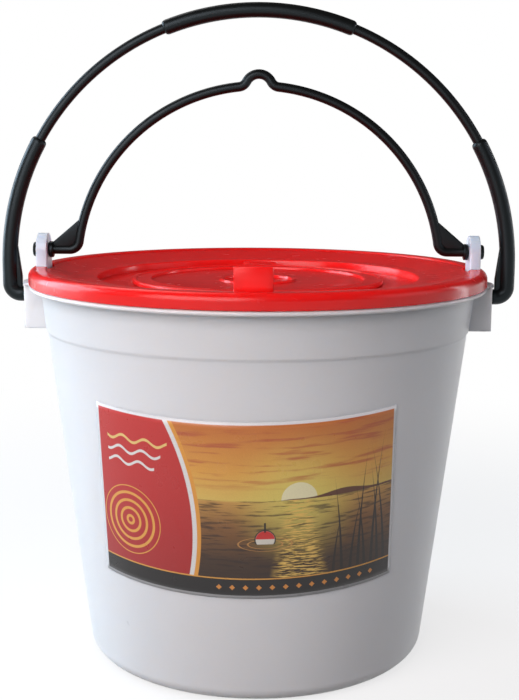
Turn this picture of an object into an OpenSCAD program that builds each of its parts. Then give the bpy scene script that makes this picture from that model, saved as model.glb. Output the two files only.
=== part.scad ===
/* [Outer bucket] */
// Radius of the lid, the widest round of the bucket, which the other round sizes follow
lid_r = 132.5; // [120:0.1:146]
// How far the lid stands out past the bucket's rim
rim_in = 4.9; // [4.5:0.1:5.5]
// Lean of the wall, as growth of the radius for each mm of height
wall_slope = 0.1216; // [0.09:0.001:0.13]
// Thickness of the outer bucket's wall
wall_t = 2.2; // [1.8:0.1:2.6]
// Thickness of the outer bucket's floor
floor_t = 2.6; // [2:0.1:4]
// Rounding between the floor and the wall
corner_r = 9.7; // [7:0.1:14]
// Height of the foot ring under the floor
foot_h = 1.6; // [1:0.1:3]
// Width of the foot ring
foot_w = 7; // [4:0.5:12]
// Height of the faint shoulder in the wall
shoulder_z = 191; // [170:1:200]
// How far the wall steps out at the shoulder
shoulder_step = 0.8; // [0.4:0.1:1.2]
// Height of the top of the rim flange
flange_z = 217.2; // [214:0.1:222]
// Thickness of the rim flange
flange_t = 2.4; // [1.8:0.1:3]
// Height of the rim above its flange
rim_h = 4.3; // [3.5:0.1:5.5]

/* [Handle lugs] */
// How far a lug's outer face stands out past the lid
lug_out = 2.7; // [1:0.1:3]
// Width of a lug from front to back
lug_w = 28; // [22:1:30]
// Height of a lug's open lower edge above the floor
lug_z = 190.7; // [186:0.1:196]
// Thickness of a lug's walls
lug_t = 2.4; // [1.8:0.1:2.8]
// How far the flange's tab reaches over a lug's outer face
tab_reach = 2.6; // [2:0.1:3.5]
// Radius of the tab's round outline
tab_r = 24; // [22:1:30]

/* [Outer bail] */
// Gap between a tab's end and the upright leg of the big handle
bow_gap = 3.2; // [1.5:0.1:8]
// Height of the middle of the bow's circle
bow_z = 226.3; // [222:0.1:232]
// Height of the big handle's hinge line
hook_z = 209.2; // [206:0.1:209.5]
// Radius of the thin rod
rod_r = 2.9; // [2.4:0.1:3.4]
// Radius of the hand grip
grip_r = 4.3; // [3.8:0.1:5]
// Length of the hand grip from side to side
grip_w = 108.4; // [90:0.1:120]
// Radius of the thick legs
leg_r = 4.5; // [4.2:0.1:5.4]
// Height at which the thick legs begin
leg_top_z = 299; // [285:1:310]
// Radius of the bend between leg and pin
hook_bend = 6; // [5.5:0.1:8]
// Radius of the pin in the lug
hook_pin_r = 3.5; // [3:0.1:4]
// Thickness of the web in the hook's corner
web_t = 3.2; // [2:0.1:4]

/* [Inner bucket] */
// Height of the inner bucket's floor above the ground
inner_z = 18; // [12:1:40]
// Gap between the two walls at the inner bucket's floor
base_gap = 8.8; // [7:0.1:14]
// Gap between the two walls under the rims
nest_gap = 2.9; // [2.6:0.1:3.2]
// Thickness of the inner bucket's wall
inner_t = 2; // [1.6:0.1:2.4]
// Rounding between the inner floor and wall
inner_corner_r = 8; // [6:0.5:14]
// Radius of one drain hole
drain_r = 2.5; // [1.5:0.1:3]
// Number of rings of drain holes round the middle hole
drain_rings = 3; // [1:1:4]
// Distance from one ring of drain holes to the next
drain_pitch = 22; // [14:1:22]

/* [Ears] */
// Distance from the lid's edge inwards to an ear's inner face
ear_in = 10; // [9.6:0.1:10.4]
// Thickness of an ear
ear_t = 6; // [5:0.1:6.4]
// Width of an ear from front to back
ear_w = 19; // [16:0.5:22]
// Height of the small handle's hinge line
ear_pin_z = 235.3; // [234:0.1:240]

/* [Inner bail] */
// Gap between an ear's inner face and the middle of the small handle's rod
small_bow_gap = 16.5; // [15:0.1:20]
// Height of the middle of the small bow's circle
small_bow_z = 223.6; // [220:0.1:226]
// Radius of the small handle's rod
small_rod_r = 2.75; // [2.3:0.05:3]
// Radius of the hump's round top
hump_r = 8; // [7:0.5:11]
// How far the hump rises over the bow
hump_rise = 6.6; // [5:0.1:9]
// Radius of the bends beside the hump and at the elbows
small_bend = 5.5; // [4.5:0.5:6]
// Radius of the pin in the ear
ear_pin_r = 2.8; // [2.4:0.1:3.4]
// Radius of the collar and the button that hold the pin in the ear
button_r = 4.7; // [4.2:0.1:5.5]
// Thickness of the collar and of the button
button_t = 2.6; // [2:0.1:3]

/* [Lid] */
// Height of the lid's rim above the ground
lid_z = 226.1; // [226.1:0.1:228]
// Thickness of the lid
lid_t = 1.9; // [1.6:0.1:2]
// Rounding of the lid's outer edge
lid_edge_r = 4; // [2:0.1:4]
// Width of the lid's flat rim
lid_rim_w = 10.5; // [9.5:0.1:11]
// Width of the slope between the rim and the ledge
slope_w = 18; // [14:0.5:22]
// Drop from the rim to the ledge
ledge_drop = 4.9; // [4:0.1:6]
// Width of the ledge and the step inside it
ledge_w = 11.4; // [7:0.1:14]
// Drop from the rim to the lid's floor
dish_drop = 9.4; // [8.5:0.1:11]

/* [Bracket] */
// Width of the upright bracket plate
bracket_w = 19.6; // [15:0.1:26]
// Height of the bracket plate above the rim
bracket_h = 12.1; // [8:0.1:16]
// Thickness of the bracket plate
bracket_t = 2.4; // [2:0.1:3]

/* [Hatch] */
// Outer radius of the hatch
hatch_r = 73.1; // [68:0.1:74]
// Thickness of the hatch's flange
hatch_t = 2.3; // [1.8:0.1:2.6]
// Radius of the sunk panel
panel_r = 61.7; // [55:0.1:62]
// Depth of the sunk panel
panel_drop = 1.3; // [0.8:0.1:1.6]
// Outer radius of the small ring on the panel
ring_r = 22.3; // [15:0.1:30]
// Outer radius of the plug under the hatch
plug_r = 64.7; // [63:0.1:66]
// Depth of the plug under the flange
plug_h = 4.4; // [3:0.1:6]
// Distance from the hatch's edge out to its hinge line
hinge_out = 3.9; // [3.4:0.1:6]
// Radius of the hinge barrel
barrel_r = 2.2; // [2:0.1:2.2]
// Radius of the hinge pin
hinge_pin_r = 1.3; // [1:0.1:1.4]
// Width of the whole hinge
hinge_w = 21; // [16:0.5:26]
// Width of one hinge ear on the lid
hinge_ear_w = 4.2; // [3:0.1:5]

/* [Label] */
// Height of the middle of the label's lower edge, measured up the sloping wall
label_z = 62.8; // [55:0.1:75]
// Height of the label, measured up the sloping wall
label_h = 97.9; // [70:0.1:110]
// Width of the label as a flat sheet
label_w = 172.3; // [120:0.1:200]
// Angle of the label's middle from the front, to the left
label_turn = 2.9; // [-10:0.1:10]
// Thickness of the label
label_t = 0.3; // [0.2:0.05:0.4]

/* [Fits] */
// Gap between pieces that rest on or face each other
seat_gap = 0.3; // [0.2:0.05:0.4]
// Gap round a turning pin
pin_gap = 0.05; // [0.02:0.01:0.1]
// Gap round an ear in the lid's notch
notch_gap = 0.6; // [0.4:0.1:1]
// Gap between the label and the wall
label_gap = 0.1; // [0.05:0.01:0.2]

/* [Hidden] */
$fn = 96;
rod_fn = 32;

milky = [0.9, 0.92, 0.95];
red = [0.8, 0.1, 0.12];
black = [0.06, 0.06, 0.07];
sides = [0, 180];
lean = atan(wall_slope);
// How far a cutter runs past what it cuts, and how deep a joined solid runs into the next
over = 1;
join = 0.5;

// Points of an arc round [x, y] from angle a to angle b
function arc(x, y, r, a, b, n = 6) =
    [for (i = [0:n]) let (t = a + (b - a) * i / n) [x + r * cos(t), y + r * sin(t)]];

// Radii that follow the lid's
rim_out_r = lid_r - rim_in;
upper_wall_in = 1.6;
base_r = rim_out_r - upper_wall_in - shoulder_step - wall_slope * flange_z;
lug_x = lid_r + lug_out;
ear_x = lid_r - ear_in;
lid_rim_in_r = lid_r - lid_rim_w;
ledge_r = lid_rim_in_r - slope_w;
dish_r = ledge_r - ledge_w;
hinge_y = hatch_r + hinge_out;

// Radius of the outside of the wall at a height
function wall_r(z) = base_r + wall_slope * z;
function upper_r(z) = wall_r(z) + shoulder_step;

flange_low_z = flange_z - flange_t;
rim_z = flange_z + rim_h;
rim_t = 2.4;
rim_edge_r = 0.8;
rim_in_r = rim_out_r - rim_t;
// The flange stays just inside the lid's edge
flange_in = 0.2;
flange_r = lid_r - flange_in;
corner_x = base_r + wall_slope * corner_r - corner_r / cos(lean);
floor_in_z = foot_h + floor_t;
inner_corner_in = corner_r - wall_t;
in_corner_z = floor_in_z + inner_corner_in;
in_corner_x = wall_r(in_corner_z) - wall_t - inner_corner_in / cos(lean);

bucket_outline = concat(
    [[0, foot_h], [corner_x - foot_w - foot_h, foot_h], [corner_x - foot_w, 0]],
    arc(corner_x, corner_r, corner_r, -90, -lean),
    [[wall_r(shoulder_z), shoulder_z], [upper_r(shoulder_z + shoulder_step), shoulder_z + shoulder_step]],
    [[upper_r(flange_low_z), flange_low_z]],
    arc(flange_r - flange_t / 2, flange_low_z + flange_t / 2, flange_t / 2, -90, 90),
    [[rim_out_r, flange_z]],
    arc(rim_out_r - rim_edge_r, rim_z - rim_edge_r, rim_edge_r, 0, 90, 3),
    arc(rim_in_r + rim_edge_r, rim_z - rim_edge_r, rim_edge_r, 90, 180, 3),
    [[upper_r(flange_low_z) - wall_t, flange_low_z]],
    [[upper_r(shoulder_z + shoulder_step) - wall_t, shoulder_z + shoulder_step]],
    [[wall_r(shoulder_z) - wall_t, shoulder_z]],
    arc(in_corner_x, in_corner_z, inner_corner_in, -lean, -90),
    [[0, floor_in_z]]);

module outer_bucket() {
    color(milky) difference() {
        union() {
            rotate_extrude() polygon(bucket_outline);
            for (a = sides) rotate(a) lug();
        }
        for (a = sides) rotate(a) translate([lug_x - 2 * lug_t, 0, hook_z]) rotate([0, 90, 0])
            cylinder(r = hook_pin_r + pin_gap, h = 3 * lug_t);
    }
}

// A square shield under the flange, open below, and the rounded tab over it
module lug() {
    difference() {
        translate([0, -lug_w / 2, lug_z]) cube([lug_x, lug_w, flange_z - flange_t / 2 - lug_z]);
        translate([0, -lug_w / 2 + lug_t, lug_z - over])
            cube([lug_x - lug_t, lug_w - 2 * lug_t, flange_low_z - lug_z + over]);
        rotate_extrude() polygon([
            [0, lug_z - over], [wall_r(lug_z - over) - wall_t / 2, lug_z - over],
            [wall_r(shoulder_z) - wall_t / 2, shoulder_z],
            [upper_r(shoulder_z + shoulder_step) - wall_t / 2, shoulder_z + shoulder_step],
            [upper_r(flange_z) - wall_t / 2, flange_z], [0, flange_z]]);
    }
    translate([0, 0, flange_low_z]) linear_extrude(flange_t) difference() {
        translate([lug_x + tab_reach - tab_r, 0]) circle(tab_r);
        circle(flange_r - flange_t);
    }
}

// The label is a flat sheet rolled onto the cone of the wall. Point [u, v] of the sheet, seen as [x, z]
label_low = wall_r(label_z * cos(lean)) / sin(lean);
function on_wall(u, v) =
    let (a = atan2(u, label_low + v) / sin(lean), r = norm([u, label_low + v]) * sin(lean))
    [r * sin(a), (r - base_r) / wall_slope];
label_steps = 12;
label_outline = concat(
    [for (i = [0:label_steps]) on_wall(label_w * (i / label_steps - 0.5), 0)],
    [for (i = [label_steps:-1:0]) on_wall(label_w * (i / label_steps - 0.5), label_h)]);
// The shell that the label is cut from runs this far past its lower and upper edge
label_reach = 12;

module label() {
    color("orange") rotate(-label_turn) intersection() {
        rotate_extrude() polygon([for (p = [[0, 0], [label_t, 0], [label_t, 1], [0, 1]])
            let (z = p[1] == 0 ? label_z - label_reach : label_z + label_h + label_reach)
                [wall_r(z) + label_gap + p[0], z]]);
        rotate([90, 0, 0]) linear_extrude(lid_r) polygon(label_outline);
    }
}

// A rod bent round the Y axis: the arc of a ring in the XZ plane, from angle a to angle b
module bent_rod(x, z, bend, r, a, b) {
    translate([x, 0, z]) rotate([90, 0, 0]) rotate_extrude(angle = b - a, start = a)
        translate([bend, 0]) circle(r, $fn = rod_fn);
}

// A short bead over the joint of two bends, at angle a of a bend. Each bend stops a little short inside it
bead_h = 1.4;
bead_over = 0.3;
joint_gap = 0.3;
function short(bend) = joint_gap / bend * 180 / PI;

module joint_bead(x, z, bend, r, a) {
    translate([x, 0, z]) rotate([0, -a, 0]) translate([bend, 0, -bead_h / 2])
        cylinder(r = r + bead_over, h = bead_h, $fn = rod_fn);
}

// Outer bail
bow_r = lug_x + tab_reach + bow_gap + leg_r;
grip_end = acos(grip_w / 2 / bow_r);
leg_top = asin((leg_top_z - bow_z) / bow_r);
hook_turn_z = hook_z + hook_bend;
hook_turn_x = bow_r - hook_bend;
arm_x = lug_x + 2 * seat_gap;
web_x = lug_x + tab_reach + 2 * seat_gap;
web_top_z = bow_z + 2 * leg_r;
// Each thick stretch ends in a smaller step, which softens its edge: its angle and its depth
end_step = 0.5;
end_drop = 0.6;
// The pin starts at its head, inside the lug
pin_head_t = button_t / 2;
pin_head_over = 1.5;
pin_start_x = lug_x - lug_t - seat_gap - pin_head_t;

module outer_bail() {
    color(black) {
        bent_rod(0, bow_z, bow_r, rod_r, leg_top, 180 - leg_top);
        bent_rod(0, bow_z, bow_r, grip_r, grip_end, 180 - grip_end);
        bent_rod(0, bow_z, bow_r, grip_r - end_drop, grip_end - end_step, 180 - grip_end + end_step);
        for (a = sides) rotate(a) hook();
    }
}

module hook() {
    bent_rod(0, bow_z, bow_r, leg_r, 0, leg_top);
    bent_rod(0, bow_z, bow_r, leg_r - end_drop, 0, leg_top + end_step);
    translate([bow_r, 0, hook_turn_z]) cylinder($fn = rod_fn, r = leg_r, h = bow_z - hook_turn_z);
    bent_rod(hook_turn_x, hook_turn_z, hook_bend, leg_r, -90, 0);
    translate([arm_x, 0, hook_z]) rotate([0, 90, 0])
        cylinder($fn = rod_fn, r = leg_r, h = hook_turn_x - arm_x);
    translate([pin_start_x, 0, hook_z]) rotate([0, 90, 0]) {
        cylinder($fn = rod_fn, r = hook_pin_r, h = arm_x + join - pin_start_x);
        cylinder($fn = rod_fn, r = hook_pin_r + pin_head_over, h = pin_head_t);
    }
    translate([0, web_t / 2, 0]) rotate([90, 0, 0]) linear_extrude(web_t) polygon([
        [web_x, hook_z], [web_x, hook_turn_z + leg_r], [bow_r - leg_r, web_top_z + leg_r],
        [bow_r, web_top_z + leg_r], [bow_r, hook_turn_z], [hook_turn_x, hook_z]]);
}

// Inner bucket
inner_top_r = upper_r(flange_low_z) - wall_t - nest_gap;
inner_base_r = wall_r(inner_z) - wall_t - base_gap;
inner_slope = (inner_top_r - inner_base_r) / (flange_low_z - inner_z);
inner_lean = atan(inner_slope);
function inner_r(z) = inner_base_r + inner_slope * (z - inner_z);
lip_in_r = rim_out_r + 2 * seat_gap;
lip_t = 1.8;
lip_out_r = lip_in_r + lip_t;
lip_round = 1;
// Bend from the wall out to the lip
flare_r = 5;
flare_x = inner_top_r + flare_r;
lip_low_z = flange_z + 4 * seat_gap;
hang_z = rim_z + seat_gap;
inner_rim_z = hang_z + inner_t;
inner_floor_z = inner_z + inner_t;
out_cz = inner_z + inner_corner_r;
out_cx = inner_r(out_cz) - inner_corner_r / cos(inner_lean);
in_cr = inner_corner_r - inner_t;
in_cz = inner_floor_z + in_cr;
in_cx = inner_r(in_cz) - inner_t - in_cr / cos(inner_lean);

inner_outline = concat(
    [[0, inner_z]],
    arc(out_cx, out_cz, inner_corner_r, -90, -inner_lean),
    [[inner_top_r, flange_low_z]],
    arc(flare_x, hang_z - flare_r, flare_r, 180, 90),
    [[lip_in_r, hang_z], [lip_in_r, lip_low_z], [lip_out_r, lip_low_z]],
    arc(lip_out_r - lip_round, inner_rim_z - lip_round, lip_round, 0, 90, 3),
    arc(flare_x, hang_z - flare_r, flare_r + inner_t, 90, 180),
    [[inner_top_r - inner_t, flange_low_z]],
    arc(in_cx, in_cz, in_cr, -inner_lean, -90),
    [[0, inner_floor_z]]);

module inner_bucket() {
    color(milky) difference() {
        union() {
            rotate_extrude() polygon(inner_outline);
            for (a = sides) rotate(a) ear();
        }
        for (a = sides) rotate(a) translate([ear_x - over, 0, ear_pin_z]) rotate([0, 90, 0])
            cylinder(r = ear_pin_r + pin_gap, h = ear_t + 2 * over);
        drain_hole(0, 0);
        for (ring = [1:drain_rings]) for (i = [1:6 * ring]) drain_hole(ring * drain_pitch, i * 60 / ring);
    }
}

module drain_hole(x, a) {
    rotate(a) translate([x, 0, inner_z - over]) cylinder(r = drain_r, h = inner_t + 2 * over);
}

ear_low_z = hang_z + inner_t / 3;

// One ear: an upright strap with a round head that holds the small handle's pin
module ear() {
    translate([ear_x, 0, 0]) rotate([90, 0, 90]) linear_extrude(ear_t) {
        translate([0, ear_pin_z]) circle(ear_w / 2);
        translate([-ear_w / 2, ear_low_z]) square([ear_w, ear_pin_z - ear_low_z]);
    }
}

// Inner bail
small_bow_r = ear_x - small_bow_gap;
hump_up = small_bow_r + hump_rise - hump_r;
hump_z = small_bow_z + hump_up;
side_up = (pow(small_bow_r + small_bend, 2) - pow(hump_r + small_bend, 2) + pow(hump_up, 2))
    / (2 * hump_up);
side_z = small_bow_z + side_up;
hump_side_x = sqrt(pow(hump_r + small_bend, 2) - pow(side_z - hump_z, 2));
side_angle = atan2(side_z - hump_z, hump_side_x);
bow_side = atan2(side_z - small_bow_z, hump_side_x);
elbow_z = ear_pin_z + small_bend;
elbow_a = asin((elbow_z - small_bow_z) / (small_bow_r + small_bend));
elbow_x = (small_bow_r + small_bend) * cos(elbow_a);
small_web_t = 3;
// How far the web's corners lie inside the rod
web_in = 3;
button_taper = 1;
collar_x = ear_x - seat_gap - button_t;
button_x = ear_x + ear_t + seat_gap;

module inner_bail() {
    color(black) {
        hump_start = side_angle + short(hump_r);
        bent_rod(0, hump_z, hump_r, small_rod_r, hump_start, 180 - hump_start);
        for (a = sides) rotate(a) small_side();
    }
}

module small_side() {
    joint_bead(0, hump_z, hump_r, small_rod_r, side_angle);
    bent_rod(hump_side_x, side_z, small_bend, small_rod_r,
        180 + side_angle + short(small_bend), 180 + bow_side - short(small_bend));
    joint_bead(0, small_bow_z, small_bow_r, small_rod_r, bow_side);
    bent_rod(0, small_bow_z, small_bow_r, small_rod_r,
        elbow_a + short(small_bow_r), bow_side - short(small_bow_r));
    joint_bead(0, small_bow_z, small_bow_r, small_rod_r, elbow_a);
    bent_rod(elbow_x, elbow_z, small_bend, small_rod_r, 180 + elbow_a + short(small_bend), 270);
    translate([elbow_x, 0, ear_pin_z]) rotate([0, 90, 0])
        cylinder($fn = rod_fn, r = small_rod_r, h = collar_x - elbow_x + button_t / 3);
    translate([collar_x, 0, ear_pin_z]) rotate([0, 90, 0]) {
        translate([0, 0, button_t / 2]) cylinder($fn = rod_fn, r = ear_pin_r, h = button_x - collar_x);
        cylinder($fn = rod_fn, r = button_r, h = button_t);
        translate([0, 0, button_x - collar_x])
            cylinder($fn = rod_fn, r1 = button_r, r2 = button_r - button_taper, h = button_t);
    }
    translate([0, small_web_t / 2, 0]) rotate([90, 0, 0]) linear_extrude(small_web_t) polygon([
        [elbow_x - small_bend, elbow_z + web_in], [small_bow_r - web_in, elbow_z + 3 * small_bend - web_in],
        [collar_x + button_t / 3, ear_pin_z + button_r - join], [collar_x + button_t / 3, ear_pin_z],
        [elbow_x, ear_pin_z]]);
}

// Lid
skirt_z = flange_z + seat_gap;
skirt_t = 1.8;
skirt_in_r = lid_r - skirt_t;
snap_r = lip_out_r - seat_gap;
rim_under_z = lid_z - lid_t;
ledge_z = lid_z - ledge_drop;
dish_z = lid_z - dish_drop;
mouth_r = plug_r + 3 * seat_gap;
rim_round = 1.4;
step_round = 1;
// Lean of the step's wall, the cut in the skirt's inner corner and the height of the snap bead's slope
step_lean = 0.6;
skirt_cut = 1.3;
snap_slope = 0.8;

lid_outline = concat(
    [[lid_r, skirt_z]],
    arc(lid_r - lid_edge_r, lid_z - lid_edge_r, lid_edge_r, 0, 90),
    arc(lid_rim_in_r + rim_round, lid_z - rim_round, rim_round, 90, 160, 3),
    [[ledge_r, ledge_z]],
    arc(dish_r + step_lean + step_round, ledge_z - step_round, step_round, 90, 170, 3),
    [[dish_r, dish_z], [mouth_r, dish_z], [mouth_r, dish_z - lid_t]],
    [[dish_r + lid_t, dish_z - lid_t], [dish_r + step_lean + lid_t, ledge_z - lid_t]],
    [[ledge_r, ledge_z - lid_t], [lid_rim_in_r, rim_under_z - rim_round / 2]],
    [[lid_rim_in_r + rim_round, rim_under_z]],
    [[skirt_in_r - skirt_cut, rim_under_z], [skirt_in_r, rim_under_z - skirt_cut]],
    [[skirt_in_r, skirt_z + seat_gap + snap_slope], [snap_r, skirt_z + seat_gap], [snap_r, skirt_z]]);

module lid() {
    color(red) difference() {
        union() {
            rotate_extrude() polygon(lid_outline);
            bracket();
            for (s = [-1, 1]) translate([s * (hinge_w - hinge_ear_w) / 2, 0, 0]) hinge_ear();
        }
        for (a = sides) rotate(a) ear_notch();
        translate([-hinge_w, hinge_y, hinge_z]) rotate([0, 90, 0])
            cylinder(r = hinge_pin_r + pin_gap, h = 2 * hinge_w);
    }
}

// Room for an ear through the rim, open towards the middle of the lid
module ear_notch() {
    notch_x = lid_rim_in_r - rim_round;
    translate([notch_x, -ear_w / 2 - notch_gap, ledge_z - lid_t])
        cube([ear_x + ear_t + notch_gap - notch_x, ear_w + 2 * notch_gap, lid_z - ledge_z + 2 * lid_t]);
}

// The upright plate inside the front rim that a clip-on air pump hangs from, and a rib behind each side
bracket_out = 0.2;
bracket_y = lid_rim_in_r + bracket_out;
rib_t = 1.8;
rib_l = 8;
rib_rise = 0.7;
function lid_mid_z(r) = ledge_z - lid_t / 2
    + (r - ledge_r) * (rim_under_z - ledge_z + lid_t / 2) / (lid_rim_in_r - ledge_r);

module bracket() {
    plate_low_z = lid_mid_z(bracket_y - bracket_t);
    translate([-bracket_w / 2, -bracket_y, plate_low_z])
        cube([bracket_w, bracket_t, lid_z + bracket_h - plate_low_z]);
    for (x = [-bracket_w / 2, bracket_w / 2 - rib_t]) translate([x, 0, 0])
        rotate([90, 0, 90]) linear_extrude(rib_t) polygon([
            [-bracket_y + bracket_t / 2, lid_mid_z(bracket_y - bracket_t / 2)],
            [-bracket_y + rib_l, lid_mid_z(bracket_y - rib_l)],
            [-bracket_y + rib_l, lid_mid_z(bracket_y - rib_l) + lid_t],
            [-bracket_y + bracket_t / 2, lid_z + rib_rise * bracket_h]]);
}

// Hatch
hatch_low_z = dish_z + seat_gap;
hatch_top_z = hatch_low_z + hatch_t;
panel_z = hatch_top_z - panel_drop;
panel_t = 1.8;
plug_t = 1.8;
// Height of the low rolls on the hatch
roll = 0.6;
strap_in = 3;
hinge_z = hatch_top_z;
knuckle_w = hinge_w - 2 * hinge_ear_w - 2 * seat_gap;

module hinge_ear() {
    translate([-hinge_ear_w / 2, hinge_y, 0]) rotate([90, 0, 90]) linear_extrude(hinge_ear_w) {
        translate([0, hinge_z]) circle(barrel_r);
        translate([-barrel_r, dish_z - lid_t / 2]) square([2 * barrel_r, hinge_z - dish_z + lid_t / 2]);
    }
}

hatch_outline = concat(
    [[hatch_r, hatch_low_z], [hatch_r, hatch_top_z]],
    [[hatch_r - roll, hatch_top_z + roll], [hatch_r - 3 * roll, hatch_top_z + roll]],
    [[hatch_r - 4 * roll, hatch_top_z]],
    [[panel_r + 4 * roll, hatch_top_z], [panel_r + 3 * roll, hatch_top_z + roll / 2]],
    [[panel_r + roll, hatch_top_z + roll / 2], [panel_r, panel_z]],
    [[ring_r, panel_z], [ring_r - roll / 2, panel_z + 2 * roll], [ring_r - 3 * roll, panel_z + 2 * roll]],
    [[ring_r - 4 * roll, panel_z - roll / 2], [0, panel_z - roll / 2]],
    [[0, panel_z - panel_t], [plug_r - plug_t, panel_z - panel_t], [plug_r - plug_t, hatch_low_z - plug_h]],
    [[plug_r, hatch_low_z - plug_h], [plug_r, hatch_low_z]]);

module hatch() {
    color(red) {
        rotate_extrude() polygon(hatch_outline);
        translate([-knuckle_w / 2, hatch_r - strap_in, hatch_low_z + seat_gap / 2])
            cube([knuckle_w, hinge_y - hatch_r + strap_in, hatch_t - seat_gap / 2]);
        translate([-knuckle_w / 2, hinge_y, hinge_z]) rotate([0, 90, 0])
            cylinder(r = barrel_r, h = knuckle_w);
        translate([-hinge_w / 2 + join, hinge_y, hinge_z]) rotate([0, 90, 0])
            cylinder(r = hinge_pin_r, h = hinge_w - 2 * join);
    }
}

outer_bucket();
label();
outer_bail();
inner_bucket();
lid();
inner_bail();
hatch();
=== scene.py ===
import math

import bmesh
import bpy
from mathutils import Matrix, Vector


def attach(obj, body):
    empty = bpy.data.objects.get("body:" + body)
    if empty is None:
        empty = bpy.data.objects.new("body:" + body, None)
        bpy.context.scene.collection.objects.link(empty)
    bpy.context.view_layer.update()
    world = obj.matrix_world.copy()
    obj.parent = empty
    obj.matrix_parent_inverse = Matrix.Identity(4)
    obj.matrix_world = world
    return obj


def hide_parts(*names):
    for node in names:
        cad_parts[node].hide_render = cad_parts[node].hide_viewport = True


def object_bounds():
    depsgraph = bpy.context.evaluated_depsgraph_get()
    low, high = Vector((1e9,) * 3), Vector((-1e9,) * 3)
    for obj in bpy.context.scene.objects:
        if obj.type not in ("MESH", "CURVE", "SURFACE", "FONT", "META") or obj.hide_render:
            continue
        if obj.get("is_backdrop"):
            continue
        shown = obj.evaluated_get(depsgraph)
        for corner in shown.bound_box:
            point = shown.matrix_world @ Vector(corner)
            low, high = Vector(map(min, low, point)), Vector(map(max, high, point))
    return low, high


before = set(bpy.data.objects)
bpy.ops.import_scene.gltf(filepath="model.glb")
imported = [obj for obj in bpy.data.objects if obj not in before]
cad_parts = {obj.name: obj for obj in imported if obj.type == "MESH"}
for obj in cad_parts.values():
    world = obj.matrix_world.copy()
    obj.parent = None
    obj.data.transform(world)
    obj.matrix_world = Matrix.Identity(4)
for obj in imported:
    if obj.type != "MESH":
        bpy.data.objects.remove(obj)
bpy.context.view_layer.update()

scene = bpy.context.scene


# ---- outer bucket: wall ----
# The milky pail: polyethylene injected through a gate in the middle of its floor. It stands on a foot ring,
# and has a faint shoulder under the top, a flange that the lid's edge covers and a rim that carries the
# inner bucket.

def add(nt, kind, **values):
    n = nt.nodes.new(kind)
    for k, v in values.items():
        if k in n.inputs:
            n.inputs[k].default_value = v
        else:
            setattr(n, k, v)
    return n


def new_material(name):
    m = bpy.data.materials.new(name)
    m.use_nodes = True
    m.node_tree.nodes.clear()
    return m, m.node_tree, m.node_tree.nodes.new("ShaderNodeOutputMaterial")


def finished(bm, name, material, angle=35):
    """Makes a smooth shaded object of a bmesh, sharp where faces meet at more than the angle."""
    bmesh.ops.recalc_face_normals(bm, faces=bm.faces)
    me = bpy.data.meshes.new(name)
    bm.to_mesh(me)
    bm.free()
    me.materials.append(material)
    o = bpy.data.objects.new(name, me)
    scene.collection.objects.link(o)
    me.shade_smooth()
    me.set_sharp_from_angle(angle=math.radians(angle))
    return o


def arc(cx, cz, r, a, b, n=8):
    turns = [math.radians(a + (b - a) * i / n) for i in range(n + 1)]
    return [(cx + r * math.cos(t), cz + r * math.sin(t)) for t in turns]


def turned(points, name, material, steps):
    """Spins an outline of (radius, height) pairs in mm round the bucket's axis."""
    bm = bmesh.new()
    vs = [bm.verts.new((r / 1000, 0, z / 1000)) for r, z in points]
    es = [bm.edges.new((a, b)) for a, b in zip(vs, vs[1:])]
    if points[0][0] > 0 or points[-1][0] > 0:
        es.append(bm.edges.new((vs[-1], vs[0])))
    bmesh.ops.spin(bm, geom=vs + es, cent=(0, 0, 0), axis=(0, 0, 1), angle=2 * math.pi, steps=steps,
                   use_merge=True)
    bmesh.ops.remove_doubles(bm, verts=bm.verts, dist=1e-6)
    return finished(bm, name, material)


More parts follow.
